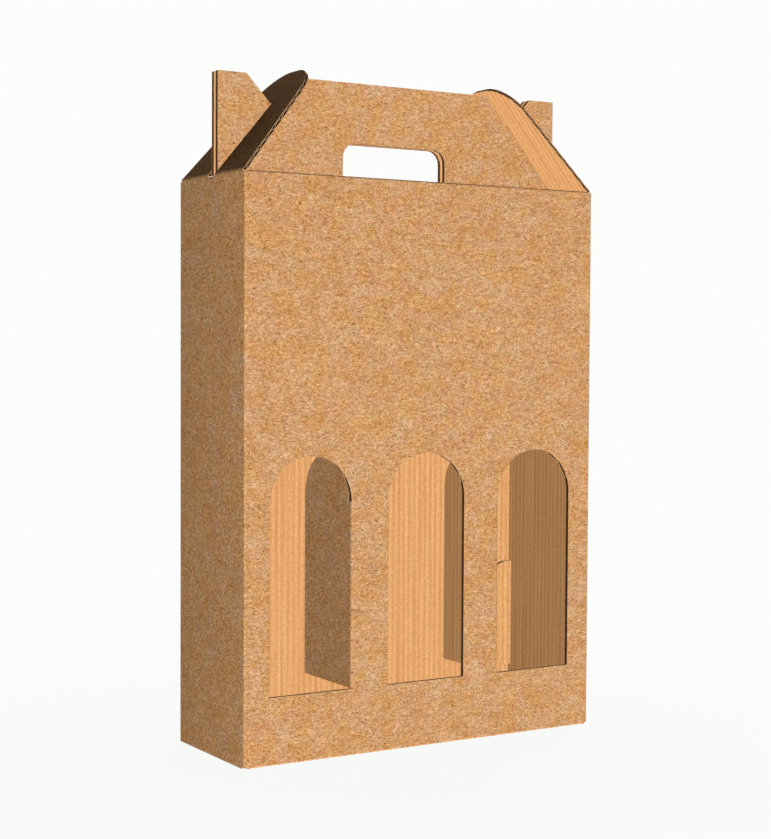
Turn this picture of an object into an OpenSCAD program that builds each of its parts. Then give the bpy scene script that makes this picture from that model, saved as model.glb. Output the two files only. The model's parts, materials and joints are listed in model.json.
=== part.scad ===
// Three-bottle carrier box of corrugated board with a folded handle.
// The front is towards -Y, +Z is up, and the origin is on the floor at the middle of the box.
// One blank is folded into the walls, the bottom, the two roof panels and the two handle boards.
// The slotted end flaps lean over the roof and straddle the handle boards.
// The outer windows' cut-outs are folded inward and keep the bottles apart.

/* [Box] */
// Outside width across the front
box_w = 252; // [220:1:320]
// Outside depth from front to back
box_d = 88; // [80:1:110]
// Height from the floor to the top of the roof panels
box_h = 348; // [300:1:400]
// Thickness of the corrugated board
board_t = 2.8; // [2:0.1:3.6]
// Outside radius of the folds
fold_r = 1; // [0.6:0.1:2]

/* [Handle] */
// Rise of the handle boards above the roof panels
handle_rise = 62.3; // [52:0.1:75]
// Clear gap between the two handle boards
handle_gap = 2.4; // [1:0.1:6]
// Set-back of each ear's outer end from the side of the box
ear_inset = 2.2; // [0:0.1:4]
// Length of the level top of each ear
ear_top = 19.1; // [12:0.1:26]
// Distance along the end flap from its crease to the bottom of the locking notch
notch_reach = 57; // [48:0.5:64]
// Width of the hand slot
slot_w = 75.4; // [60:0.2:100]
// Height of the hand slot
slot_h = 21.8; // [18:0.1:32]
// Height of the hand slot's lower edge above the roof panels
slot_lift = 2.9; // [1:0.1:8]
// Radius of the hand slot's upper corners
slot_r = 8.5; // [2:0.1:9]

/* [End flaps] */
// Slope of each closed end flap above the level, in degrees
flap_slope = 49.5; // [46:0.5:54]
// Length of each end flap from its crease to its tip
flap_len = 85.6; // [82:0.1:100]
// Set-back of the end flap's edges from the front and back of the box, at the crease
flap_inset = 2.3; // [2:0.1:8]
// Radius of the two rounded corners at the tip
flap_tip_r = 27; // [15:0.5:28]
// Length of the straight run between the tip's rounded corners
flap_tip_flat = 8; // [4:0.5:16]
// Height of the end flaps' creases above the roof panels
crease_rise = 1; // [0.6:0.1:2]
// Radius of the round relief in each side wall under the flap's slot
relief_r = 5.5; // [4:0.1:8]
// Depth of that relief below the top of the side wall
relief_dip = 1.2; // [0.5:0.1:3]

/* [Windows] */
// Width of each window
window_w = 55.6; // [44:0.2:64]
// Height of each window from its sill to its crown
window_h = 141.4; // [100:0.2:180]
// Height of the window sills above the floor
window_sill = 40.3; // [34:0.1:60]
// Distance from the middle of one window to the next
window_pitch = 81.6; // [76:0.2:90]

/* [Glued tabs] */
// Width of the joint tabs inside the back wall
tab_w = 30; // [20:1:40]
// Height of each joint tab at the corner
tab_h = 72; // [40:1:90]
// Height of the lower joint tab's foot above the floor
tab_foot = 27; // [26:0.5:40]
// Distance from the lower joint tab to the upper one
tab_step = 222; // [140:1:240]
// Level run of a joint tab's ends before they slope away
tab_level = 5.5; // [2:0.1:10]
// Slope of the joint tab's ends, in degrees
tab_slope = 20; // [5:1:30]
// Height of the tuck tabs of the bottom panel
tuck_h = 20; // [15:0.5:25]
// Radius of the bites at the ends of the bottom fold
bite_r = 1.6; // [0.8:0.1:2]

/* [Clearances] */
// Gap between board edges that pass each other
play = 0.5; // [0.3:0.05:0.8]
// Gap between a flap's rounded root and the wall that carries it
root_gap = 0.3; // [0.2:0.05:0.5]
// Gap beside a window flap's root, so that it can lean towards the middle
lean_gap = 0.6; // [0.4:0.05:1]

/* [Hidden] */
$fn = 72;

// Overrun of every cut past the face that it opens
over = 1;
kraft = [0.80, 0.61, 0.40];
kraft_flap = [0.70, 0.53, 0.35];
kraft_inner = [0.92, 0.70, 0.45];

// Inside of the box
in_w = box_w - 2 * board_t;
in_d = box_d - 2 * board_t;
// Mid-line of a board's thickness
mid_t = board_t / 2;

// Crease of the end flaps: its axis runs along Y in the middle of the side wall's thickness
crease_x = box_w / 2 - mid_t;
crease_z = box_h + crease_rise;
wall_top = crease_z - mid_t - root_gap;

// Roof panels and handle boards
roof_half = in_w / 2 - play;
handle_out = handle_gap / 2 + board_t;
handle_top = box_h + handle_rise;
ear_x = box_w / 2 - ear_inset;
ear_c = ear_x - ear_top;

// Slot of the end flaps: it clears the ear's farthest corner from the crease
slot_half = handle_out + play;
ear_far = norm([crease_x - ear_c, handle_top - crease_z]);
flap_slot = max(ear_far, notch_reach) + play;
flap_half = box_d / 2 - flap_inset;

// A point beside the left end flap: v runs up its slope from the crease, w out of its face
function on_flap(v, w) = [
    -crease_x + v * cos(flap_slope) - w * sin(flap_slope),
    crease_z + v * sin(flap_slope) + w * cos(flap_slope)
];
// Distance up the slope at which a line at depth w reaches a height
function flap_reach(z, w) = (z - crease_z - w * cos(flap_slope)) / sin(flap_slope);

// Locking notch: it is open above the end flap and closed behind it
notch_back = -mid_t - play;
notch_top = flap_reach(handle_top, notch_back);

// Windows and their flaps
arch_r = window_w / 2;
arch_z = window_sill + window_h - arch_r;
root_x = window_pitch - arch_r - mid_t;
root_y = -box_d / 2 + mid_t;
pane_len = window_w + mid_t - play;

// Left half of the handle board's outline, from its foot to its top edge
ear_points = [
    [-roof_half, box_h],
    [-roof_half, box_h + play],
    [-ear_x, box_h + play],
    [-ear_x, handle_top],
    [-ear_c, handle_top],
    on_flap(notch_reach, mid_t),
    on_flap(notch_reach, notch_back),
    on_flap(notch_top, notch_back)
];

// Tangent of the flap's tapered edge to the rounded corner at its tip
tip_u = flap_tip_flat / 2;
tip_v = flap_len - flap_tip_r;
tip_span = norm([tip_u - flap_half, tip_v]);
edge_turn = atan2(tip_v, tip_u - flap_half) - asin(flap_tip_r / tip_span);
edge_len = sqrt(tip_span * tip_span - flap_tip_r * flap_tip_r);
edge_u = flap_half + edge_len * cos(edge_turn);
edge_v = edge_len * sin(edge_turn);

// What a fold's radius takes off a square corner that points to +X +Y
module fold_waste(out_x, out_y) {
    difference() {
        translate([-fold_r, -fold_r]) square([fold_r + out_x, fold_r + out_y]);
        translate([-fold_r, -fold_r]) circle(fold_r);
    }
}

// What the turned edge of one board leaves open beside the board that it butts against
module butt_waste(out_x, out_y) {
    polygon([[-fold_r, 0], [0, -fold_r], [out_x, -fold_r], [out_x, out_y], [-fold_r, out_y]]);
}

// A shape drawn in X and Z, given the board's thickness towards +Y from a plane
module upright(from_y, thick) {
    translate([0, from_y + thick, 0]) rotate([90, 0, 0]) linear_extrude(thick) children();
}

// A shape drawn in Y and Z, carried along X on both sides of the middle
module along_x(half) {
    translate([-half, 0, 0]) rotate([90, 0, 90]) linear_extrude(2 * half) children();
}

// Four walls in plan: three rounded folds, and a butt seam at the back right
module wall_plan() {
    difference() {
        square([box_w, box_d], center = true);
        square([in_w, in_d], center = true);
        translate([box_w / 2, -box_d / 2]) mirror([0, 1]) fold_waste(over, over);
        translate([-box_w / 2, -box_d / 2]) mirror([1, 0]) mirror([0, 1]) fold_waste(over, over);
        translate([-box_w / 2, box_d / 2]) mirror([1, 0]) fold_waste(over, over);
        translate([box_w / 2, in_d / 2]) butt_waste(over, 0);
    }
}

// Front roof panel in section, from the front wall to the foot of its handle board
module roof_section() {
    difference() {
        translate([-box_d / 2, box_h - board_t]) square([box_d / 2 - handle_gap / 2, board_t]);
        translate([-handle_gap / 2, box_h - board_t]) mirror([0, 1]) fold_waste(over, over);
    }
}

// Top of the front wall in section, where it turns into the roof panel
module wall_head_section() {
    translate([-box_d / 2, wall_top - board_t]) square([board_t, box_h - wall_top + board_t]);
}

// Hand slot, rounded at its upper corners only
module hand_slot() {
    foot = box_h + slot_lift;
    translate([-slot_w / 2, foot]) square([slot_w, slot_h - slot_r]);
    translate([-slot_w / 2 + slot_r, foot]) square([slot_w - 2 * slot_r, slot_h]);
    for (side = [-1, 1])
        translate([side * (slot_w / 2 - slot_r), foot + slot_h - slot_r]) circle(slot_r);
}

// Outline of a handle board with its two ears and notches
module handle_outline() {
    last = len(ear_points) - 1;
    difference() {
        polygon(concat(
            ear_points,
            [for (i = [0 : last]) [-ear_points[last - i][0], ear_points[last - i][1]]]
        ));
        hand_slot();
    }
}

// Half of the top: one roof panel and one handle board
module half_top() {
    along_x(roof_half) roof_section();
    along_x(roof_half) wall_head_section();
    upright(-handle_out, board_t) handle_outline();
}

// Arched window, grown or shrunk by a margin
module arch(margin) {
    translate([-arch_r - margin, window_sill - margin])
        square([window_w + 2 * margin, arch_z - window_sill + margin]);
    translate([0, arch_z]) circle(arch_r + margin);
}

// Room in the front wall for the left window flap's root
module root_room() {
    translate([-root_x - board_t, window_sill])
        square([board_t + mid_t + lean_gap, arch_z - window_sill]);
}

// Joint tab, hung from the right wall's back edge and sloped away at both ends
module joint_tab(foot) {
    drop = (tab_w - tab_level) * tan(tab_slope);
    polygon([
        [in_w / 2, foot],
        [in_w / 2, foot + tab_h],
        [in_w / 2 - tab_level, foot + tab_h],
        [in_w / 2 - tab_w, foot + tab_h - drop],
        [in_w / 2 - tab_w, foot + drop],
        [in_w / 2 - tab_level, foot]
    ]);
}

// Tuck tab with corners cut back by a board's thickness
module tuck_outline(half) {
    polygon([
        [-half, 0],
        [half, 0],
        [half, tuck_h - board_t],
        [half - board_t, tuck_h],
        [-half + board_t, tuck_h],
        [-half, tuck_h - board_t]
    ]);
}

// Bottom panel, folded back from the front wall, with three tabs turned up inside the walls
module bottom() {
    difference() {
        union() {
            along_x(in_w / 2)
                translate([-box_d / 2, 0]) square([box_d - board_t, board_t]);
            upright(in_d / 2 - board_t, board_t) tuck_outline(in_w / 2 - board_t - play);
            for (side = [-1, 1])
                translate([side * (in_w / 2 - mid_t), 0, 0])
                    along_x(mid_t) tuck_outline(in_d / 2 - board_t - play);
        }
        along_x(in_w / 2 + over)
            translate([in_d / 2, 0]) mirror([0, 1]) butt_waste(0, over);
        for (side = [0, 1])
            mirror([side, 0, 0])
                upright(-in_d / 2, in_d)
                    translate([in_w / 2, 0]) mirror([0, 1]) butt_waste(0, over);
    }
}

module carrier_body() {
    color(kraft) difference() {
        union() {
            linear_extrude(wall_top) wall_plan();
            half_top();
            mirror([0, 1, 0]) half_top();
            bottom();
            for (level = [0, 1])
                upright(in_d / 2 - board_t, board_t) joint_tab(tab_foot + level * tab_step);
        }
        // Windows, and room for the roots of the two window flaps
        upright(-box_d / 2 - over, board_t + 2 * over) {
            for (place = [-1, 0, 1])
                translate([place * window_pitch, 0]) arch(0);
            root_room();
            mirror([1, 0]) root_room();
        }
        // Rounded fold under the front wall, and the bites at its ends
        along_x(in_w / 2)
            translate([-box_d / 2, 0]) mirror([1, 0]) mirror([0, 1]) fold_waste(over, over);
        for (side = [-1, 1])
            translate([side * box_w / 2, -box_d / 2, 0]) sphere(bite_r);
        // Rounded folds between the front and back walls and the roof panels
        for (side = [0, 1])
            mirror([0, side, 0])
                along_x(roof_half)
                    translate([-box_d / 2, box_h]) mirror([1, 0]) fold_waste(over, over);
        // Round reliefs in the side walls under the end flaps' slots
        for (side = [-1, 1])
            translate([side * crease_x, 0, wall_top - relief_dip + relief_r])
                rotate([0, 90, 0]) cylinder(r = relief_r, h = board_t + 2 * over, center = true);
    }
}

// End flap lying flat: a tapered tongue along X from its crease, slotted up the middle
module end_flap_outline() {
    difference() {
        union() {
            polygon([
                [0, -flap_half],
                [edge_v, -edge_u],
                [tip_v, -tip_u],
                [flap_len, -tip_u],
                [flap_len, tip_u],
                [tip_v, tip_u],
                [edge_v, edge_u],
                [0, flap_half]
            ]);
            for (side = [-1, 1])
                translate([tip_v, side * tip_u]) circle(flap_tip_r);
        }
        translate([-board_t, -slot_half]) square([flap_slot + board_t, 2 * slot_half]);
    }
}

module end_flap() {
    root_len = flap_half - slot_half;
    translate([-crease_x, 0, crease_z]) rotate([0, -flap_slope, 0]) {
        translate([0, 0, -mid_t]) linear_extrude(board_t) end_flap_outline();
        for (side = [-1, 1])
            translate([0, side * (slot_half + root_len / 2), 0])
                rotate([90, 0, 0]) cylinder(r = mid_t, h = root_len, center = true);
    }
}

module left_end_flap() {
    color(kraft_flap) end_flap();
}

module right_end_flap() {
    color(kraft_flap) mirror([1, 0, 0]) end_flap();
}

// Window flap in Y and Z as it stands folded inward, with its root at Y = 0
module window_flap_outline() {
    foot = window_sill + play;
    arch_y = arch_r + mid_t;
    difference() {
        union() {
            translate([0, foot]) square([pane_len, arch_z - foot]);
            translate([arch_y, arch_z]) circle(arch_r - play);
        }
        // The root ends short of the arch, so that it turns under the wall
        translate([-over, arch_z - play]) square([board_t + over, arch_r]);
    }
}

module window_flap() {
    foot = window_sill + play;
    translate([-root_x, root_y, 0]) {
        along_x(mid_t) window_flap_outline();
        translate([0, 0, foot]) cylinder(r = mid_t, h = arch_z - play - foot);
    }
}

module left_window_flap() {
    color(kraft_inner) window_flap();
}

module right_window_flap() {
    color(kraft_inner) mirror([1, 0, 0]) window_flap();
}

carrier_body();
left_end_flap();
right_end_flap();
left_window_flap();
right_window_flap();
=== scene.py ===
import json
import math

import bpy
from mathutils import Matrix, Vector
from mathutils.geometry import tessellate_polygon

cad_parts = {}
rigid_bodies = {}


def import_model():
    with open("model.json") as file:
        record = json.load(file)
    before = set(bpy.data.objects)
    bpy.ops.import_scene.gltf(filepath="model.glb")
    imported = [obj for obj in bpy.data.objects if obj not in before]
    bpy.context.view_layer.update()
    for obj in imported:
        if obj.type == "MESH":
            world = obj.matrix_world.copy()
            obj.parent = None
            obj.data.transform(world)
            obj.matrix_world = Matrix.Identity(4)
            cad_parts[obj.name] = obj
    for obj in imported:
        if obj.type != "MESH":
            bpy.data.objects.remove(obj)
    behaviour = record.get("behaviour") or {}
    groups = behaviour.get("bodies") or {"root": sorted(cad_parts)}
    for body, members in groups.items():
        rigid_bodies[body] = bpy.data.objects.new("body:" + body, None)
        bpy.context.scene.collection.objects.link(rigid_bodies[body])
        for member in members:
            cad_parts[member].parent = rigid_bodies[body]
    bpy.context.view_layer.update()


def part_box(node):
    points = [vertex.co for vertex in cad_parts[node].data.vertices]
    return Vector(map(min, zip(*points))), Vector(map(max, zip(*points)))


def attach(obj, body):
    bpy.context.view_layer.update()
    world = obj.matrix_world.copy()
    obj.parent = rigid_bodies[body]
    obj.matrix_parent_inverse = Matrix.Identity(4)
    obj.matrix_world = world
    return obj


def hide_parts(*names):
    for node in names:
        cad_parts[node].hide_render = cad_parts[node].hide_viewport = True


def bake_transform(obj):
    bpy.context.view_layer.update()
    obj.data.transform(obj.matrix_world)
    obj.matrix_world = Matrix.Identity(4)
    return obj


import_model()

# Sizes, in millimetres
MM = 0.001
HALF_W, HALF_D, HANDLE_TOP = (round(c / MM, 2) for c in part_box("carrier_body")[1])
HANDLE_H = 62.3
BOX_H = HANDLE_TOP - HANDLE_H

# Board: its thickness, the radius of its folds, the play beside a cut, its liners and its flutes
BOARD, FOLD, PLAY = 2.8, 1.0, 0.5
LINER, MEDIUM, PITCH, STEPS = 0.36, 0.32, 8.4, 14
IN_W, IN_D = HALF_W - BOARD, HALF_D - BOARD
FLAT_W, FLAT_D = HALF_W - FOLD, HALF_D - FOLD

# Creases of the flaps that move
ROOT_R, ROOT_GAP, LEAN_GAP = BOARD / 2, 0.3, 0.6
CREASE_RISE = 1.0
CREASE_X, CREASE_Z = HALF_W - ROOT_R, BOX_H + CREASE_RISE
SLOPE = math.radians(49.5)
WALL_TOP = CREASE_Z - ROOT_R - ROOT_GAP
RELIEF_R, RELIEF_DIP = 5.5, 1.2

# Roof panels, with a painted shade line on their folds' crests from this share of the fold on, and
# handle boards
ROOF_X = IN_W - PLAY
CREST_SHADE_FROM, CREST_SHADE_STEPS, PLAIN_STEPS = 0.4, 5, 3
HANDLE_IN = 1.2
HANDLE_OUT = HANDLE_IN + BOARD
EAR_INSET, EAR_TOP = 2.2, 19.1
EAR_X = HALF_W - EAR_INSET
EAR_C = EAR_X - EAR_TOP
NOTCH_REACH = 57.0
HAND_HALF, HAND_LOW, HAND_HIGH, HAND_R = 37.7, 2.9, 24.7, 8.5
HAND_FOOT, HAND_HEAD = BOX_H + HAND_LOW, BOX_H + HAND_HIGH

# Windows and window flaps
WINDOW_HALF, WINDOW_STEP, SILL, ARCH_Z = 27.8, 81.6, 40.3, 153.9
ROOT_X, ROOT_Y = WINDOW_STEP - WINDOW_HALF - ROOT_R, ROOT_R - HALF_D
WALL_EDGE = ROOT_X - ROOT_R - LEAN_GAP

# End flaps, a little thinner than the board
FLAP_INSET, FLAP_LEN, TIP_R, TIP_U = 2.3, 85.6, 27.0, 4.0
FLAP_HALF = HALF_D - FLAP_INSET
FACE_SHY, BACK_SHY = 0.5, 0.1
FLAP_FACE, FLAP_BACK = ROOT_R - FACE_SHY, ROOT_R - BACK_SHY
SLOT_HALF, SLOT_END = HANDLE_OUT + PLAY, NOTCH_REACH + PLAY
ROOTS = ((-FLAP_HALF, -SLOT_HALF), (SLOT_HALF, FLAP_HALF))

# Bottom panel with its tabs, and the joint tabs
BOTTOM_X, BITE = IN_W - FOLD, 1.4
TUCK_H, TUCK_X, TUCK_Y = 20.0, IN_W - BOARD - PLAY, IN_D - BOARD - PLAY
TAB_W, TAB_H, TAB_LEVEL, TAB_FEET = 30.0, 72.0, 5.5, (27.0, 249.0)
TAB_SLANT = math.radians(20)
TAB_DROP = (TAB_W - TAB_LEVEL) * math.tan(TAB_SLANT)

# Steps of arcs, and limits that the mesh code uses
ARCH_STEPS, CORNER_STEPS, TIP_STEPS = 40, 10, 28
SHARP = math.radians(35)
FLAT_AREA, SAME_WAY, LEAST_MITRE = 1e-7, 0.9999, 0.25
STEEP, NUDGE, THIN_STRIP = 0.3, 1e-6, 0.01
WELD_DIGITS, STOP_DIGITS = 3, 4
X, Y, Z = Vector((1, 0, 0)), Vector((0, 1, 0)), Vector((0, 0, 1))

# Places of the materials on each piece
FACE_OUT, FACE_IN, CUT, CORE_AND_SHADE, CREST_SHADE = range(5)


# Board geometry
def plane(origin, along, up, into):
    """A flat panel: a runs across the flutes, b along them, and w into the board."""
    o = Vector(origin)
    return lambda a, b, w: o + along * a + up * b + into * w


class Shell:
    """A sheet of welded faces that is given a thickness and closed along its rims."""

    def __init__(self, face, thick, side=CUT):
        self.face, self.thick, self.side = face, thick, side
        self.ids, self.points, self.faces = {}, [], []

    def vertex(self, p):
        key = tuple(round(c, WELD_DIGITS) for c in p)
        if key not in self.ids:
            self.ids[key] = len(self.points)
            self.points.append(Vector(p))
        return self.ids[key]

    def add(self, points, uvs, out, smooth=False, face=None):
        corners = [self.vertex(p) for p in points]
        if len(set(corners)) < len(corners):
            return
        normal = (points[1] - points[0]).cross(points[2] - points[0])
        if normal.dot(out) < 0:
            corners.reverse()
            uvs = list(reversed(uvs))
            normal = -normal
        if normal.length < FLAT_AREA:
            return
        kind = self.face if face is None else face
        self.faces.append((corners, uvs, normal.normalized(), smooth, kind))

    def panel(self, place, loops, w, out):
        flat = [p for loop in loops for p in loop]
        rings = [[Vector((a, b, 0)) for a, b in loop] for loop in loops]
        for tri in tessellate_polygon(rings):
            uvs = [flat[i] for i in tri]
            self.add([place(a, b, w) for a, b in uvs], uvs, out)

    def fold(self, at, ends, first, last, steps=6, face=None):
        """A rounded fold: at(angle, s) is a point of it, in degrees and along the fold."""
        for i in range(steps):
            lo = first + (last - first) * i / steps
            hi = first + (last - first) * (i + 1) / steps
            for s0, s1 in zip(ends, ends[1:]):
                mid = (at(lo, s0) + at(hi, s1)) / 2
                out = mid - at(None, (s0 + s1) / 2)
                points = [at(lo, s0), at(hi, s0), at(hi, s1), at(lo, s1)]
                self.add(points, [(0, s0), (0, s0), (0, s1), (0, s1)], out, True, face)

    def rim_kind(self, c, d):
        """The cut edge's material: rims that run along the flutes may have their own."""
        steep = abs(d[0] - c[0]) < STEEP * abs(d[1] - c[1])
        return self.side if steep else CUT

    def closed(self):
        """Points, and faces as (corners, uvs, material, smooth)."""
        normals = [[] for _ in self.points]
        edges = {}
        for corners, uvs, normal, smooth, kind in self.faces:
            for i, c in enumerate(corners):
                if all(normal.dot(n) < SAME_WAY for n in normals[c]):
                    normals[c].append(normal)
                j = (i + 1) % len(corners)
                d = corners[j]
                edges.setdefault((min(c, d), max(c, d)), []).append((c, d, uvs[i], uvs[j]))
        under = []
        for p, found in zip(self.points, normals):
            if not found:
                under.append(p)
                continue
            total = sum(found, Vector())
            step = total / max(LEAST_MITRE, min(total.dot(n) for n in found))
            under.append(p - step * self.thick)
        count = len(self.points)
        faces = []
        for corners, uvs, normal, smooth, kind in self.faces:
            faces.append((corners, uvs, kind, smooth))
            # Back faces lie inside the board and take the dark core tone: painted shade
            back = [c + count for c in reversed(corners)]
            faces.append((back, list(reversed(uvs)), CORE_AND_SHADE, smooth))
        for uses in edges.values():
            if len(uses) == 1:
                c, d, uv_c, uv_d = uses[0]
                rim = [d, c, c + count, d + count]
                faces.append((rim, [uv_d, uv_c, uv_c, uv_d], self.rim_kind(uv_c, uv_d), False))
        return self.points + under, faces


def spans(edges, a):
    """The stretches of a panel along the line at a, from edge to edge."""
    hits = []
    for (a0, b0), (a1, b1) in edges:
        if (a0 > a) != (a1 > a):
            hits.append(b0 + (b1 - b0) * (a - a0) / (a1 - a0))
    hits.sort()
    return list(zip(hits[::2], hits[1::2]))


def ripple(a):
    """Even flutes, from minus one to one."""
    return math.sin(2 * math.pi * a / PITCH)


def arches(a):
    """Flutes as wide arches under the outer liner, which meet at the inner one."""
    return 1 - 2 * abs(math.sin(math.pi * a / PITCH))


def flutes(place, loops, into, thick, wave):
    """The fluted medium of a panel, cut to the panel's outline."""
    # The medium takes the dark core tone: its own brown, deepened with painted shade in the flutes
    shell = Shell(CORE_AND_SHADE, MEDIUM, CORE_AND_SHADE)
    edges = [pair for loop in loops for pair in zip(loop, loop[1:] + loop[:1])]
    corners = [a for loop in loops for a, b in loop]
    step = PITCH / STEPS
    first, last = math.ceil(min(corners) / step), math.floor(max(corners) / step)
    stops = corners + [k * step for k in range(first, last + 1)]
    stops = sorted(set(round(a, STOP_DIGITS) for a in stops))
    swing = thick / 2 - LINER - MEDIUM / 2

    def depth(a):
        return thick / 2 - MEDIUM / 2 + swing * wave(a)

    for a0, a1 in zip(stops, stops[1:]):
        if a1 - a0 < THIN_STRIP:
            continue
        before, after = spans(edges, a0 + NUDGE), spans(edges, a1 - NUDGE)
        if len(before) != len(after):
            continue
        w0, w1 = depth(a0), depth(a1)
        for (b0, c0), (b1, c1) in zip(before, after):
            points = [place(a0, b0, w0), place(a1, b1, w1), place(a1, c1, w1), place(a0, c0, w0)]
            shell.add(points, [(a0, b0), (a1, b1), (a1, c1), (a0, c0)], -into)
    return shell


def arc(cx, cy, r, first, last, steps):
    """Points of an arc from one angle to another, in degrees."""
    found = []
    for i in range(steps + 1):
        t = math.radians(first + (last - first) * i / steps)
        found.append((cx + r * math.cos(t), cy + r * math.sin(t)))
    return found


def about(axis, along, first, second, r):
    """A fold about a line, from the first direction to the second. No angle gives the line itself."""
    def at(angle, s):
        middle = axis + along * s
        if angle is None:
            return middle
        t = math.radians(angle)
        return middle + (first * math.cos(t) + second * math.sin(t)) * r
    return at


def about_x(y, z, r):
    return about(Vector((0, y, z)), X, Y, Z, r)


def about_y(x, z, r):
    return about(Vector((x, 0, z)), Y, X, Z, r)


def about_z(x, y, r):
    return about(Vector((x, y, 0)), Z, X, Y, r)


def mirrored(points):
    return [(-a, b) for a, b in reversed(points)]


def turned(loops):
    return [[(b, a) for a, b in loop] for loop in loops]


class Board:
    """The liners and flutes of one piece of corrugated board."""

    def __init__(self, thick=BOARD):
        self.thick = thick
        self.outer = Shell(FACE_OUT, LINER)
        self.inner = Shell(FACE_IN, LINER)
        self.fluted = []

    def panel(self, place, into, outer, inner=None, level=False):
        """A panel of the board. Its flutes run along b, or along a where they are level."""
        self.outer.panel(place, outer, 0, -into)
        self.inner.panel(place, inner or outer, self.thick, into)
        if level:
            self.fluted.append(
                flutes(lambda a, b, w: place(b, a, w), turned(outer), into, self.thick, arches))
        else:
            self.fluted.append(flutes(place, outer, into, self.thick, ripple))

    def piece(self, name, materials, *more):
        verts, faces, uvs, kinds, smooths = [], [], [], [], []
        for shell in [self.outer, self.inner] + self.fluted + list(more):
            points, found = shell.closed()
            base = len(verts)
            verts += [p * MM for p in points]
            for corners, uv, kind, smooth in found:
                faces.append([c + base for c in corners])
                uvs += [(u * MM, v * MM) for u, v in uv]
                kinds.append(kind)
                smooths.append(smooth)
        mesh = bpy.data.meshes.new(name)
        mesh.from_pydata(verts, [], faces)
        layer = mesh.uv_layers.new(name="board")
        layer.data.foreach_set("uv", [c for uv in uvs for c in uv])
        mesh.polygons.foreach_set("material_index", kinds)
        mesh.polygons.foreach_set("use_smooth", smooths)
        mesh.set_sharp_from_angle(angle=SHARP)
        for m in materials:
            mesh.materials.append(m)
        obj = bpy.data.objects.new(name, mesh)
        bpy.context.scene.collection.objects.link(obj)
        return obj


# Outlines
def window(place):
    """An arched window in the front wall; the outer two have room for a flap's root."""
    x0, x1 = place * WINDOW_STEP - WINDOW_HALF, place * WINDOW_STEP + WINDOW_HALF
    crown = arc(place * WINDOW_STEP, ARCH_Z, WINDOW_HALF, 0, 180, ARCH_STEPS)
    if place < 0:
        return [(x0, SILL), (-WALL_EDGE, SILL), (-WALL_EDGE, ARCH_Z)] + crown
    if place > 0:
        return [(WALL_EDGE, SILL), (x1, SILL)] + crown + [(WALL_EDGE, ARCH_Z)]
    return [(x0, SILL), (x1, SILL)] + crown


def hand_slot():
    x, z = HAND_HALF - HAND_R, HAND_HEAD - HAND_R
    return ([(-HAND_HALF, HAND_FOOT), (HAND_HALF, HAND_FOOT)]
            + arc(x, z, HAND_R, 0, 90, CORNER_STEPS) + arc(-x, z, HAND_R, 90, 180, CORNER_STEPS))


def on_flap(v, w):
    """A point of the left end flap seen from the front: v up its slope, and w out of its middle."""
    c, s = math.cos(SLOPE), math.sin(SLOPE)
    return (-CREASE_X + v * c - w * s, CREASE_Z + v * s + w * c)


def handle_outline(foot):
    """A handle board with its ears, and the notches that lock the end flaps."""
    back = -ROOT_R - PLAY
    top = (HANDLE_TOP - CREASE_Z - back * math.cos(SLOPE)) / math.sin(SLOPE)
    half = [(-ROOF_X, foot), (-ROOF_X, BOX_H), (-EAR_X, BOX_H), (-EAR_X, HANDLE_TOP),
            (-EAR_C, HANDLE_TOP), on_flap(NOTCH_REACH, ROOT_R), on_flap(NOTCH_REACH, back),
            on_flap(top, back)]
    return half + mirrored(half)


def wall_head(half):
    """The top of a side wall, with the round relief under the end flap's slot."""
    cz = WALL_TOP - RELIEF_DIP + RELIEF_R
    reach = math.degrees(math.acos((cz - WALL_TOP) / RELIEF_R))
    dip = arc(0, cz, RELIEF_R, -90 + reach, -90 - reach, CORNER_STEPS)
    return [(half[1], WALL_TOP)] + dip + [(half[0], WALL_TOP)]


def end_flap_outline():
    """A slotted tongue: straight sides that run on as tangents into its round corners."""
    tip_v = FLAP_LEN - TIP_R
    span = math.hypot(TIP_U - FLAP_HALF, tip_v)
    turn = math.atan2(tip_v, TIP_U - FLAP_HALF) - math.asin(TIP_R / span)
    length = math.sqrt(span * span - TIP_R * TIP_R)
    u, v = FLAP_HALF + length * math.cos(turn), length * math.sin(turn)
    start = math.degrees(math.atan2(v - tip_v, u - TIP_U))
    half = [(SLOT_HALF, SLOT_END), (SLOT_HALF, 0), (FLAP_HALF, 0)]
    half += arc(TIP_U, tip_v, TIP_R, start, 90, TIP_STEPS)
    return half + mirrored(half)


def pane_outline():
    """A window's cut-out, with its root at zero and the play around it."""
    foot, length = SILL + PLAY, 2 * WINDOW_HALF + ROOT_R - PLAY
    r, cy = WINDOW_HALF - PLAY, WINDOW_HALF + ROOT_R
    stop = math.degrees(math.acos((BOARD - cy) / r))
    return ([(0, foot), (length, foot)] + arc(cy, ARCH_Z, r, 0, stop, ARCH_STEPS)
            + [(BOARD, ARCH_Z - PLAY), (0, ARCH_Z - PLAY)])


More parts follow.
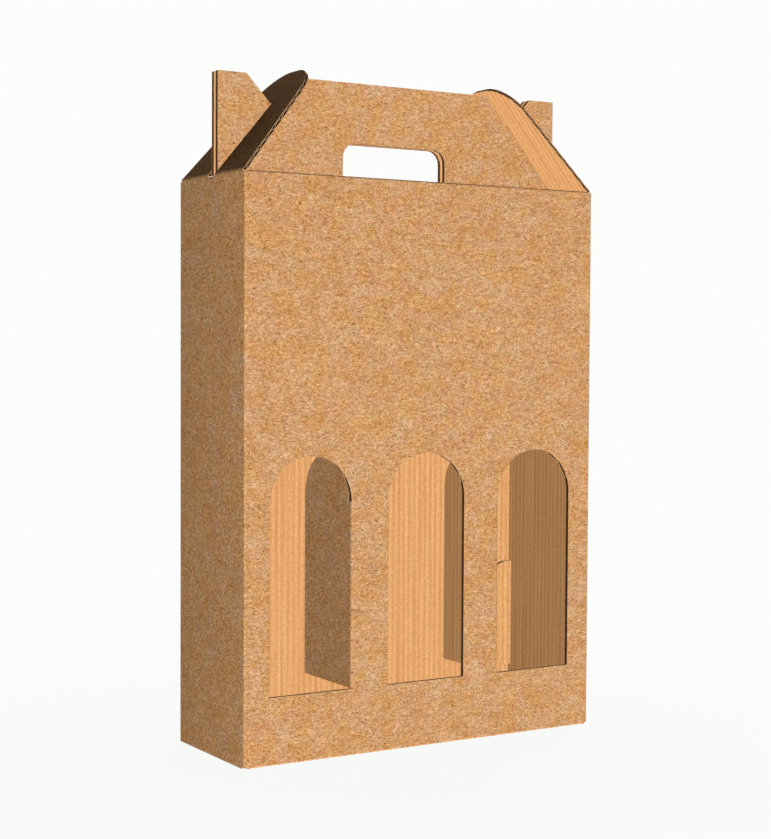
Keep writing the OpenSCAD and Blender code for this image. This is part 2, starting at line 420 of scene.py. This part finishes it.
# Pieces of board
def carrier_board():
    b = Board()
    windows = [window(-1), window(0), window(1)]

    def head(half, top):
        right = [(half, WALL_TOP), (ROOF_X, WALL_TOP), (ROOF_X, top)]
        return right + mirrored(right)

    head_out, head_in = head(FLAT_W, BOX_H - FOLD), head(IN_W, BOX_H - BOARD)

    # Front wall, with its fold to the bottom panel
    floor_in = BOTTOM_X + FOLD - BOARD
    foot = [(-FLAT_W, BITE), (-IN_W, 0), (-BOTTOM_X, 0), (-BOTTOM_X, FOLD)]
    foot_in = [(-IN_W, 0), (-floor_in, 0), (-floor_in, BOARD)]
    front = plane((0, -HALF_D, 0), X, Z, Y)
    b.panel(front, Y, [foot + mirrored(foot) + head_out] + windows,
            [foot_in + mirrored(foot_in) + head_in] + windows)

    # Back wall: it ends in a cut edge at the right
    back = plane((0, HALF_D, 0), X, Z, -Y)
    b.panel(back, -Y, [[(-FLAT_W, 0), (HALF_W, 0), (HALF_W, WALL_TOP)] + head_out[1:]],
            [[(-IN_W, 0), (HALF_W, 0), (HALF_W, WALL_TOP)] + head_in[1:]])

    # Side walls
    left = plane((-HALF_W, 0, 0), Y, Z, X)
    right = plane((HALF_W, 0, 0), Y, Z, -X)
    seam = IN_D - FOLD
    for wall, into, last in ((left, X, FLAT_D), (right, -X, seam)):
        b.panel(wall, into,
                [[(-FLAT_D, BITE), (-IN_D, 0), (last, 0)] + wall_head((-FLAT_D, last))],
                [[(-IN_D, 0), (IN_D, 0)] + wall_head((-IN_D, IN_D))])

    # Upright folds at the corners
    b.outer.fold(about_z(-FLAT_W, -FLAT_D, FOLD), (BITE, WALL_TOP), 270, 180)
    b.outer.fold(about_z(FLAT_W, -FLAT_D, FOLD), (BITE, WALL_TOP), 270, 360)
    b.outer.fold(about_z(-FLAT_W, FLAT_D, FOLD), (0, WALL_TOP), 180, 90)
    b.outer.fold(about_z(FLAT_W, seam, FOLD), (0, WALL_TOP), 0, 90)

    # Roof panels and handle boards, front and back
    bend = HANDLE_IN + FOLD
    for side in (-1, 1):
        towards = -side * Y
        ends = (-ROOF_X, ROOF_X)
        roof = plane((0, 0, BOX_H), X, Y, -Z)

        def strip(y0, y1):
            near, far = side * y0, side * y1
            return [[(-ROOF_X, near), (ROOF_X, near), (ROOF_X, far), (-ROOF_X, far)]]

        b.panel(roof, -Z, strip(FLAT_D, HANDLE_OUT), strip(IN_D, bend))
        board = plane((0, side * HANDLE_OUT, 0), X, Z, towards)
        b.panel(board, towards, [handle_outline(BOX_H), hand_slot()],
                [handle_outline(BOX_H - BOARD + FOLD), hand_slot()])
        flat = 180 if side < 0 else 0
        crest = flat + (90 - flat) * CREST_SHADE_FROM
        # From the crest on, the fold's outer liner takes a darker copy of the kraft: painted shade
        # along the crease
        b.outer.fold(about_x(side * FLAT_D, BOX_H - FOLD, FOLD), ends, flat, crest, PLAIN_STEPS)
        b.outer.fold(about_x(side * FLAT_D, BOX_H - FOLD, FOLD), ends, crest, 90, CREST_SHADE_STEPS, CREST_SHADE)
        under = 360 if side < 0 else 180
        b.inner.fold(about_x(side * bend, BOX_H - BOARD + FOLD, FOLD), ends, 270, under)

    # Bottom panel with its tuck tab and end tabs
    floor = plane((0, 0, 0), X, Y, Z)
    rear_out, rear_in = IN_D - FOLD, IN_D - BOARD

    def base(half, front, rear):
        right = [(half, -front), (half, -TUCK_Y), (half, TUCK_Y), (half, rear), (TUCK_X, rear)]
        return [right + mirrored(right)]

    b.panel(floor, Z, base(BOTTOM_X, FLAT_D, rear_out), base(floor_in, IN_D, rear_in))
    b.outer.fold(about_x(-FLAT_D, FOLD, FOLD), (-BOTTOM_X, BOTTOM_X), 180, 270)
    b.outer.fold(about_x(rear_out, FOLD, FOLD), (-TUCK_X, TUCK_X), 270, 360)

    def tab(half, low):
        return [[(-half, low), (half, low), (half, TUCK_H - BOARD), (half - BOARD, TUCK_H),
                 (BOARD - half, TUCK_H), (-half, TUCK_H - BOARD)]]

    b.panel(plane((0, IN_D, 0), X, Z, -Y), -Y, tab(TUCK_X, FOLD), tab(TUCK_X, BOARD))
    for side in (-1, 1):
        place = plane((side * IN_W, 0, 0), Z, Y, -side * X)
        b.panel(place, -side * X, turned(tab(TUCK_Y, FOLD)), turned(tab(TUCK_Y, BOARD)))
        flat = 180 if side < 0 else 360
        b.outer.fold(about_y(side * BOTTOM_X, FOLD, FOLD), (-TUCK_Y, TUCK_Y), 270, flat)

    # Joint tabs inside the back wall
    for low in TAB_FEET:
        top = low + TAB_H
        outline = [(IN_W, low), (IN_W, top), (IN_W - TAB_LEVEL, top), (IN_W - TAB_W, top - TAB_DROP),
                   (IN_W - TAB_W, low + TAB_DROP), (IN_W - TAB_LEVEL, low)]
        b.panel(plane((0, IN_D, 0), X, Z, -Y), -Y, [outline])
    return b


def end_flap_board(side):
    b = Board(FLAP_FACE + FLAP_BACK)
    rise = Vector((-side * math.cos(SLOPE), 0, math.sin(SLOPE)))
    out = Vector((side * math.sin(SLOPE), 0, math.cos(SLOPE)))
    axis = Vector((side * CREASE_X, 0, CREASE_Z))
    b.panel(plane(axis + out * FLAP_FACE, Y, rise, -out), -out, [end_flap_outline()], level=True)
    for ends in ROOTS:
        b.inner.fold(about(axis, Y, -out, -rise, FLAP_BACK), ends, 0, 90)
    return b


def end_crease(side):
    """The outer liner over an end flap's crease, from the wall's top to the flap's face."""
    b = Board()
    flat = 180 if side < 0 else 0
    tilt = 90 - side * math.degrees(SLOPE)

    def axis(angle, s):
        share = 0.0 if angle is None else (angle - flat) / (tilt - flat)
        return about_y(side * CREASE_X, CREASE_Z, ROOT_R + (FLAP_FACE - ROOT_R) * share)(angle, s)

    for y0, y1 in ROOTS:
        low = [Vector((side * HALF_W, y, WALL_TOP)) for y in (y0, y1)]
        high = [axis(flat, y) for y in (y0, y1)]
        b.outer.add([low[0], low[1], high[1], high[0]], [(0, 0)] * 4, side * X)
        b.outer.fold(axis, (y0, y1), flat, tilt, steps=5)
    start = Vector((side * HALF_W, 0, WALL_TOP)) * MM
    end = axis(tilt, 0) * MM
    return b, start, end


def pane_board(side):
    b = Board()
    axis = Vector((side * ROOT_X, ROOT_Y, 0))
    out = side * X
    b.panel(plane(axis + out * ROOT_R, Y, Z, -out), -out, [pane_outline()])
    ends = (SILL + PLAY, ARCH_Z - PLAY)
    b.inner.fold(about(axis, Z, -out, -Y, ROOT_R), ends, 0, 90)
    return b


def window_crease(side):
    """The outer liner over a window flap's crease, from the wall's edge to the flap's face."""
    b = Board()
    axis = about_z(side * ROOT_X, ROOT_Y, ROOT_R)
    ends = (SILL, ARCH_Z)
    edge = [Vector((side * WALL_EDGE, -HALF_D, z)) for z in ends]
    turn = [axis(270, z) for z in ends]
    b.outer.add([edge[0], edge[1], turn[1], turn[0]], [(0, 0)] * 4, -Y)
    flat = 180 if side < 0 else 360
    b.outer.fold(axis, ends, 270, flat)
    return b, edge[0] * MM, axis(flat, SILL) * MM


# Materials
BUMP_DEPTH = 0.0002
SPECK_CORE = 0.55

# Shades change red less and blue more than green, and light shades are held back a little
RED_CALM, GREEN_GAIN, BLUE_GAIN, LIGHT_CALM = 0.28, 1.06, 0.48, 0.26


def linear(r, g, b):
    """A colour as Blender's linear values, from the usual 0 to 255."""
    def one(c):
        c /= 255
        return c / 12.92 if c <= 0.04045 else ((c + 0.055) / 1.055) ** 2.4
    return (one(r), one(g), one(b), 1)


class Graph:
    """Short calls for a node tree. Sockets are given as values or as other nodes' outputs."""

    def __init__(self, tree):
        self.tree = tree

    def put(self, target, value):
        if isinstance(value, bpy.types.NodeSocket):
            self.tree.links.new(value, target)
        else:
            target.default_value = value

    def node(self, kind, ins=(), **props):
        n = self.tree.nodes.new(kind)
        for k, v in props.items():
            setattr(n, k, v)
        for key, v in dict(ins).items():
            self.put(n.inputs[key], v)
        return n

    def math(self, op, a, b=0.0):
        return self.node("ShaderNodeMath", {0: a, 1: b}, operation=op).outputs[0]

    def times(self, value, factor):
        return self.math("MULTIPLY", value, factor)

    def scaled(self, vector, scale):
        return self.node("ShaderNodeMapping", {"Vector": vector, "Scale": scale}).outputs[0]

    def noise(self, vector, scale, detail=2.0, rough=0.55, twist=0.0):
        ins = {"Vector": vector, "Scale": scale, "Detail": detail,
               "Roughness": rough, "Distortion": twist}
        return self.node("ShaderNodeTexNoise", ins).outputs["Fac"]

    def spread(self, value, lo, hi, to_lo=0.0, to_hi=1.0):
        ins = {"Value": value, "From Min": lo, "From Max": hi, "To Min": to_lo, "To Max": to_hi}
        return self.node("ShaderNodeMapRange", ins).outputs[0]

    def shade(self, noise, margin, reach):
        """A noise, with a margin cut off at both ends, as a shade of this reach about zero."""
        return self.spread(noise, margin, 1 - margin, -reach, reach)

    def mix(self, fac, a, b, blend="MIX"):
        ins = {0: fac, 6: a, 7: b}
        return self.node("ShaderNodeMix", data_type="RGBA", blend_type=blend, ins=ins).outputs[2]

    def shaded(self, tone, depth, *shades):
        """The tone made lighter and paler, or darker and deeper, by shades that are about zero."""
        total = 0.0
        for shade in shades:
            total = self.math("ADD", shade, total)
        total = self.times(total, self.math("SUBTRACT", 1.0, self.times(total, LIGHT_CALM)))
        powers = (1 - RED_CALM * depth, GREEN_GAIN, 1 + BLUE_GAIN * depth)
        parts = [self.math("POWER", math.e, self.times(total, k)) for k in powers]
        gain = self.node("ShaderNodeCombineColor", dict(enumerate(parts))).outputs[0]
        return self.mix(1.0, tone, gain, "MULTIPLY")

    def specks(self, vector, scale, size, share):
        """Small spots: one in each Voronoi cell whose own random number is below the share."""
        v = self.node("ShaderNodeTexVoronoi", {"Vector": vector, "Scale": scale, "Randomness": 1.0})
        near = self.spread(v.outputs["Distance"], size, size * SPECK_CORE)
        pick = self.node("ShaderNodeSeparateColor", {"Color": v.outputs["Color"]}).outputs[0]
        return self.times(near, self.math("LESS_THAN", pick, share))

    def spotted(self, tone, spots, strength, colour):
        return self.mix(self.times(spots, strength), tone, colour)

    def dress(self, shader, tone, rough, gloss, height, strength):
        """Colour, roughness, specular level and bump of a shader."""
        ins = {"Strength": strength, "Distance": BUMP_DEPTH, "Height": height}
        bump = self.node("ShaderNodeBump", ins).outputs[0]
        self.put(shader.inputs["Base Color"], tone)
        self.put(shader.inputs["Roughness"], rough)
        self.put(shader.inputs["Specular IOR Level"], gloss)
        self.put(shader.inputs["Normal"], bump)


def new_material(name):
    mat = bpy.data.materials.new(name)
    mat.use_nodes = True
    g = Graph(mat.node_tree)
    return mat, g, mat.node_tree.nodes["Principled BSDF"]


def kraft_outer(name, level=1.0):
    """Outer liner: recycled kraft, mottled in hue, with level fibres and light and dark specks."""
    mat, g, shader = new_material(name)
    place = g.node("ShaderNodeTexCoord").outputs["Object"]
    lying = g.scaled(place, (1.0, 1.0, 1.7))

    # Mottled hue, from orange to grey, with a weak tint of red and green
    hue = g.noise(place, scale=108, detail=1, rough=0.4, twist=0.5)
    orange, grey = linear(211, 155, 96), linear(210, 161, 116)
    tone = g.mix(g.spread(hue, 0.32, 0.68), orange, grey)
    tint = g.noise(lying, scale=170, detail=2, rough=0.6)
    reddish, greenish = (1.021, 0.964, 1.014, 1), (0.979, 1.036, 0.986, 1)
    tone = g.mix(1.0, tone, g.mix(g.spread(tint, 0.3, 0.7), reddish, greenish), "MULTIPLY")

    # Clouds, level fibres and grain
    cloud = g.noise(lying, scale=60, detail=3)
    fibre = g.noise(g.scaled(place, (1.0, 1.0, 3.0)), scale=280, detail=3, rough=0.62, twist=0.6)
    grain = g.noise(g.scaled(place, (1.0, 1.0, 1.5)), scale=605, detail=2, rough=0.6)
    fine = g.noise(place, scale=1250, detail=1)
    tone = g.shaded(tone, 1.6, g.shade(cloud, 0.3, 0.08))
    tone = g.shaded(tone, 1.15, g.shade(fibre, 0.3, 0.26), g.shade(grain, 0.25, 0.38),
                    g.shade(fine, 0.2, 0.50))

    # Dark specks, pale specks and a few blots
    dark = g.specks(lying, scale=300, size=0.28, share=0.13)
    tone = g.spotted(tone, dark, 0.85, linear(128, 78, 32))
    pale = g.specks(g.scaled(place, (1.0, 1.0, 1.4)), scale=360, size=0.24, share=0.13)
    tone = g.spotted(tone, pale, 0.65, linear(252, 202, 152))
    blot = g.specks(place, scale=55, size=0.055, share=0.16)
    tone = g.spotted(tone, blot, 0.7, linear(96, 58, 34))
    # A level below one darkens the whole tone: painted shade, used on the crests of the roof folds
    if level < 1.0:
        tone = g.mix(1.0, tone, (level, level, level, 1), "MULTIPLY")
    rough = g.spread(grain, 0.3, 0.7, to_lo=0.80, to_hi=0.94)
    height = g.math("ADD", g.times(grain, 0.6), g.times(fine, 0.4))
    g.dress(shader, tone, rough, gloss=0.15, height=height, strength=0.1)
    return mat


def kraft_inner():
    """Inner liner: smoother and yellower, with the flutes showing through as lines."""
    mat, g, shader = new_material("kraft_inner")
    coord = g.node("ShaderNodeTexCoord")
    place, flat = coord.outputs["Object"], coord.outputs["UV"]

    # Two lines for each flute, some darker than others, and thin streaks
    across = g.node("ShaderNodeSeparateXYZ", {"Vector": flat}).outputs[0]
    turn = g.times(across, 4 * math.pi / (PITCH * MM))
    wave = g.math("SINE", turn)
    third = g.math("SINE", g.times(turn, 1 / 3))
    thread = g.noise(g.scaled(flat, (1.0, 0.015, 1.0)), scale=640, detail=1)
    streak = g.shade(thread, 0.25, 1.0)
    line = g.math("ADD", g.times(wave, 0.55), g.times(third, 0.06))
    line = g.math("ADD", line, g.times(streak, 0.75))
    deep, bright = linear(219, 154, 94), linear(250, 188, 126)
    tone = g.mix(g.spread(line, -1.08, 1.08), deep, bright)

    # Grain and a few flecks
    grain = g.noise(g.scaled(place, (1.0, 1.0, 0.6)), scale=1000, detail=2, rough=0.6)
    tone = g.shaded(tone, 1.2, g.shade(grain, 0.25, 0.20))
    fleck = g.specks(place, scale=330, size=0.2, share=0.07)
    tone = g.spotted(tone, fleck, 0.25, linear(170, 116, 70))
    rough = g.spread(grain, 0.3, 0.7, to_lo=0.76, to_hi=0.90)
    height = g.math("ADD", g.times(wave, 0.4), g.times(grain, 0.3))
    g.dress(shader, tone, rough, gloss=0.15, height=height, strength=0.1)
    return mat


def board_core(name, low, high, scale):
    """The fluted medium, and the cut edges of the liners."""
    mat, g, shader = new_material(name)
    place = g.node("ShaderNodeTexCoord").outputs["Object"]
    grain = g.noise(place, scale, detail=3, rough=0.6)
    tone = g.mix(g.spread(grain, 0.3, 0.7), linear(*low), linear(*high))
    rough = g.spread(grain, 0.3, 0.7, to_lo=0.85, to_hi=0.97)
    g.dress(shader, tone, rough, gloss=0.1, height=grain, strength=0.3)
    return mat


board_materials = [
    kraft_outer("kraft_outer"),
    kraft_inner(),
    board_core("board_cut", low=(190, 142, 96), high=(232, 184, 134), scale=900),
    # The medium and the liners' inner faces: their own brown, darkened towards black as painted shade
    # in the flutes seen at cut edges
    board_core("board_core", low=(40, 24, 14), high=(66, 42, 26), scale=600),
    # A darker copy of the outer liner: painted shade along the crests of the roof folds
    kraft_outer("kraft_crest_shade", level=0.72),
]

pieces = [
    (carrier_board(), "carrier_shell", "carrier", "carrier_body"),
    (end_flap_board(-1), "left_flap_shell", "left_end", "left_end_flap"),
    (end_flap_board(1), "right_flap_shell", "right_end", "right_end_flap"),
    (pane_board(-1), "left_pane_shell", "left_pane", "left_window_flap"),
    (pane_board(1), "right_pane_shell", "right_pane", "right_window_flap"),
]
for board, name, body, node in pieces:
    obj = board.piece(name, board_materials)
    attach(obj, body)
    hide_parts(node)

creases = [
    (end_crease(-1), "left_end_crease_liner", "left_end"),
    (end_crease(1), "right_end_crease_liner", "right_end"),
    (window_crease(-1), "left_pane_crease_liner", "left_pane"),
    (window_crease(1), "right_pane_crease_liner", "right_pane"),
]
for (board, start, end), name, body in creases:
    obj = board.piece(name, board_materials)
    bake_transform(obj)
    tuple(start)
    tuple(end)


# Floor, world and lamps
FLOOR_HALF, FLOOR_Z = 30.0, -0.0006
FLOOR_COLOUR = (0.86, 0.87, 0.86, 1)
BACKDROP = (0.975, 0.985, 0.97, 1)
SHADOW_NEAR, SHADOW_FAR, SHADOW_SHARE = 0.15, 0.75, 0.07
WORLD_LEVEL = 0.045


def white_for_camera(g):
    """One for rays that show the backdrop, and zero for rays that carry light."""
    path = g.node("ShaderNodeLightPath")
    seen = g.math("MAXIMUM", path.outputs["Is Camera Ray"], path.outputs["Is Glossy Ray"])
    return g.math("MAXIMUM", seen, path.outputs["Is Transmission Ray"])


def make_floor():
    """A wide floor in the backdrop's white, which takes a soft shadow near the object."""
    corners = ((-1, -1), (1, -1), (1, 1), (-1, 1))
    points = [(x * FLOOR_HALF, y * FLOOR_HALF, FLOOR_Z) for x, y in corners]
    mesh = bpy.data.meshes.new("floor")
    mesh.from_pydata(points, [], [(0, 1, 2, 3)])
    mat = bpy.data.materials.new("floor_white")
    mat.use_nodes = True
    tree = mat.node_tree
    tree.nodes.remove(tree.nodes["Principled BSDF"])
    g = Graph(tree)
    plain = g.node("ShaderNodeBsdfDiffuse", {"Color": FLOOR_COLOUR})
    glow = g.node("ShaderNodeEmission", {"Color": BACKDROP, "Strength": 1.0})
    place = g.node("ShaderNodeTexCoord").outputs["Object"]
    far = g.node("ShaderNodeVectorMath", {0: place}, operation="LENGTH").outputs["Value"]
    share = g.spread(far, SHADOW_NEAR, SHADOW_FAR, 1 - SHADOW_SHARE, 1.0)
    fac = g.times(white_for_camera(g), share)
    mixed = g.node("ShaderNodeMixShader", {0: fac, 1: plain.outputs[0], 2: glow.outputs[0]})
    g.put(tree.nodes["Material Output"].inputs["Surface"], mixed.outputs[0])
    mesh.materials.append(mat)
    floor = bpy.data.objects.new("floor", mesh)
    bpy.context.scene.collection.objects.link(floor)


def make_world():
    """A dim even light, which shows as the white backdrop."""
    world = bpy.data.worlds.new("studio")
    bpy.context.scene.world = world
    world.use_nodes = True
    g = Graph(world.node_tree)
    world.node_tree.nodes.clear()
    seen = white_for_camera(g)
    dim = g.node("ShaderNodeBackground", {"Color": (1, 1, 1, 1), "Strength": WORLD_LEVEL})
    white = g.node("ShaderNodeBackground", {"Color": BACKDROP, "Strength": 1.0})
    mixed = g.node("ShaderNodeMixShader", {0: seen, 1: dim.outputs[0], 2: white.outputs[0]})
    out = g.node("ShaderNodeOutputWorld")
    g.put(out.inputs["Surface"], mixed.outputs[0])


def lit(name, kind, energy, travel):
    """A light without bounces, turned to shine along a direction."""
    light = bpy.data.lights.new(name, kind)
    light.energy = energy
    light.cycles.max_bounces = 0
    obj = bpy.data.objects.new(name, light)
    obj.rotation_euler = Vector(travel).to_track_quat("-Z", "Y").to_euler()
    bpy.context.scene.collection.objects.link(obj)
    return obj


def lamp(name, place, aim, size, power):
    """A soft rectangular light that the camera doesn't see."""
    obj = lit(name, "AREA", power, Vector(aim) - Vector(place))
    obj.data.shape = "RECTANGLE"
    obj.data.size, obj.data.size_y = size
    obj.location = place
    obj.visible_camera = False


def fill(name, travel, strength):
    """A broad fill without shadows, as a very large soft light gives."""
    obj = lit(name, "SUN", strength, travel)
    obj.data.use_shadow = False


make_floor()
make_world()
fill("front_fill", travel=(0.385, 0.86, 0.83), strength=4.24)
lamp("table_glow", place=(0, 0, -0.0002), aim=(0, 0, 1), size=(3.0, 3.0), power=1)
fill("back_fill", travel=(-0.52, -0.70, -0.60), strength=2.2)
lamp("back_lamp", place=(1.2, 1.1, 1.5), aim=(0, 0, 0.2), size=(0.8, 0.8), power=22)

# Camera, fitted to the photo's edges
CAMERA_PLACE = (-0.58305, -0.94435, 0.24505)
YAW, TILT, ROLL = math.radians(31.543), math.radians(2.298), math.radians(0.299)
FOCAL_PIXELS, IMAGE_H, SENSOR = 1743.7, 839, 36.0
ahead = Vector((math.sin(YAW) * math.cos(TILT), math.cos(YAW) * math.cos(TILT), -math.sin(TILT)))
beside = Vector((math.cos(YAW), -math.sin(YAW), 0))
above = beside.cross(ahead)
cam_x = beside * math.cos(ROLL) + above * math.sin(ROLL)
cam_y = above * math.cos(ROLL) - beside * math.sin(ROLL)
turn = Matrix((cam_x, cam_y, -ahead)).transposed().to_4x4()
lens = bpy.data.cameras.new("camera")
lens.sensor_width = SENSOR
lens.lens = FOCAL_PIXELS * SENSOR / IMAGE_H
lens.clip_start, lens.clip_end = 0.01, 200
camera = bpy.data.objects.new("camera", lens)
camera.matrix_world = Matrix.Translation(CAMERA_PLACE) @ turn
bpy.context.scene.collection.objects.link(camera)
bpy.context.scene.camera = camera
bpy.context.scene.view_settings.view_transform = "Standard"
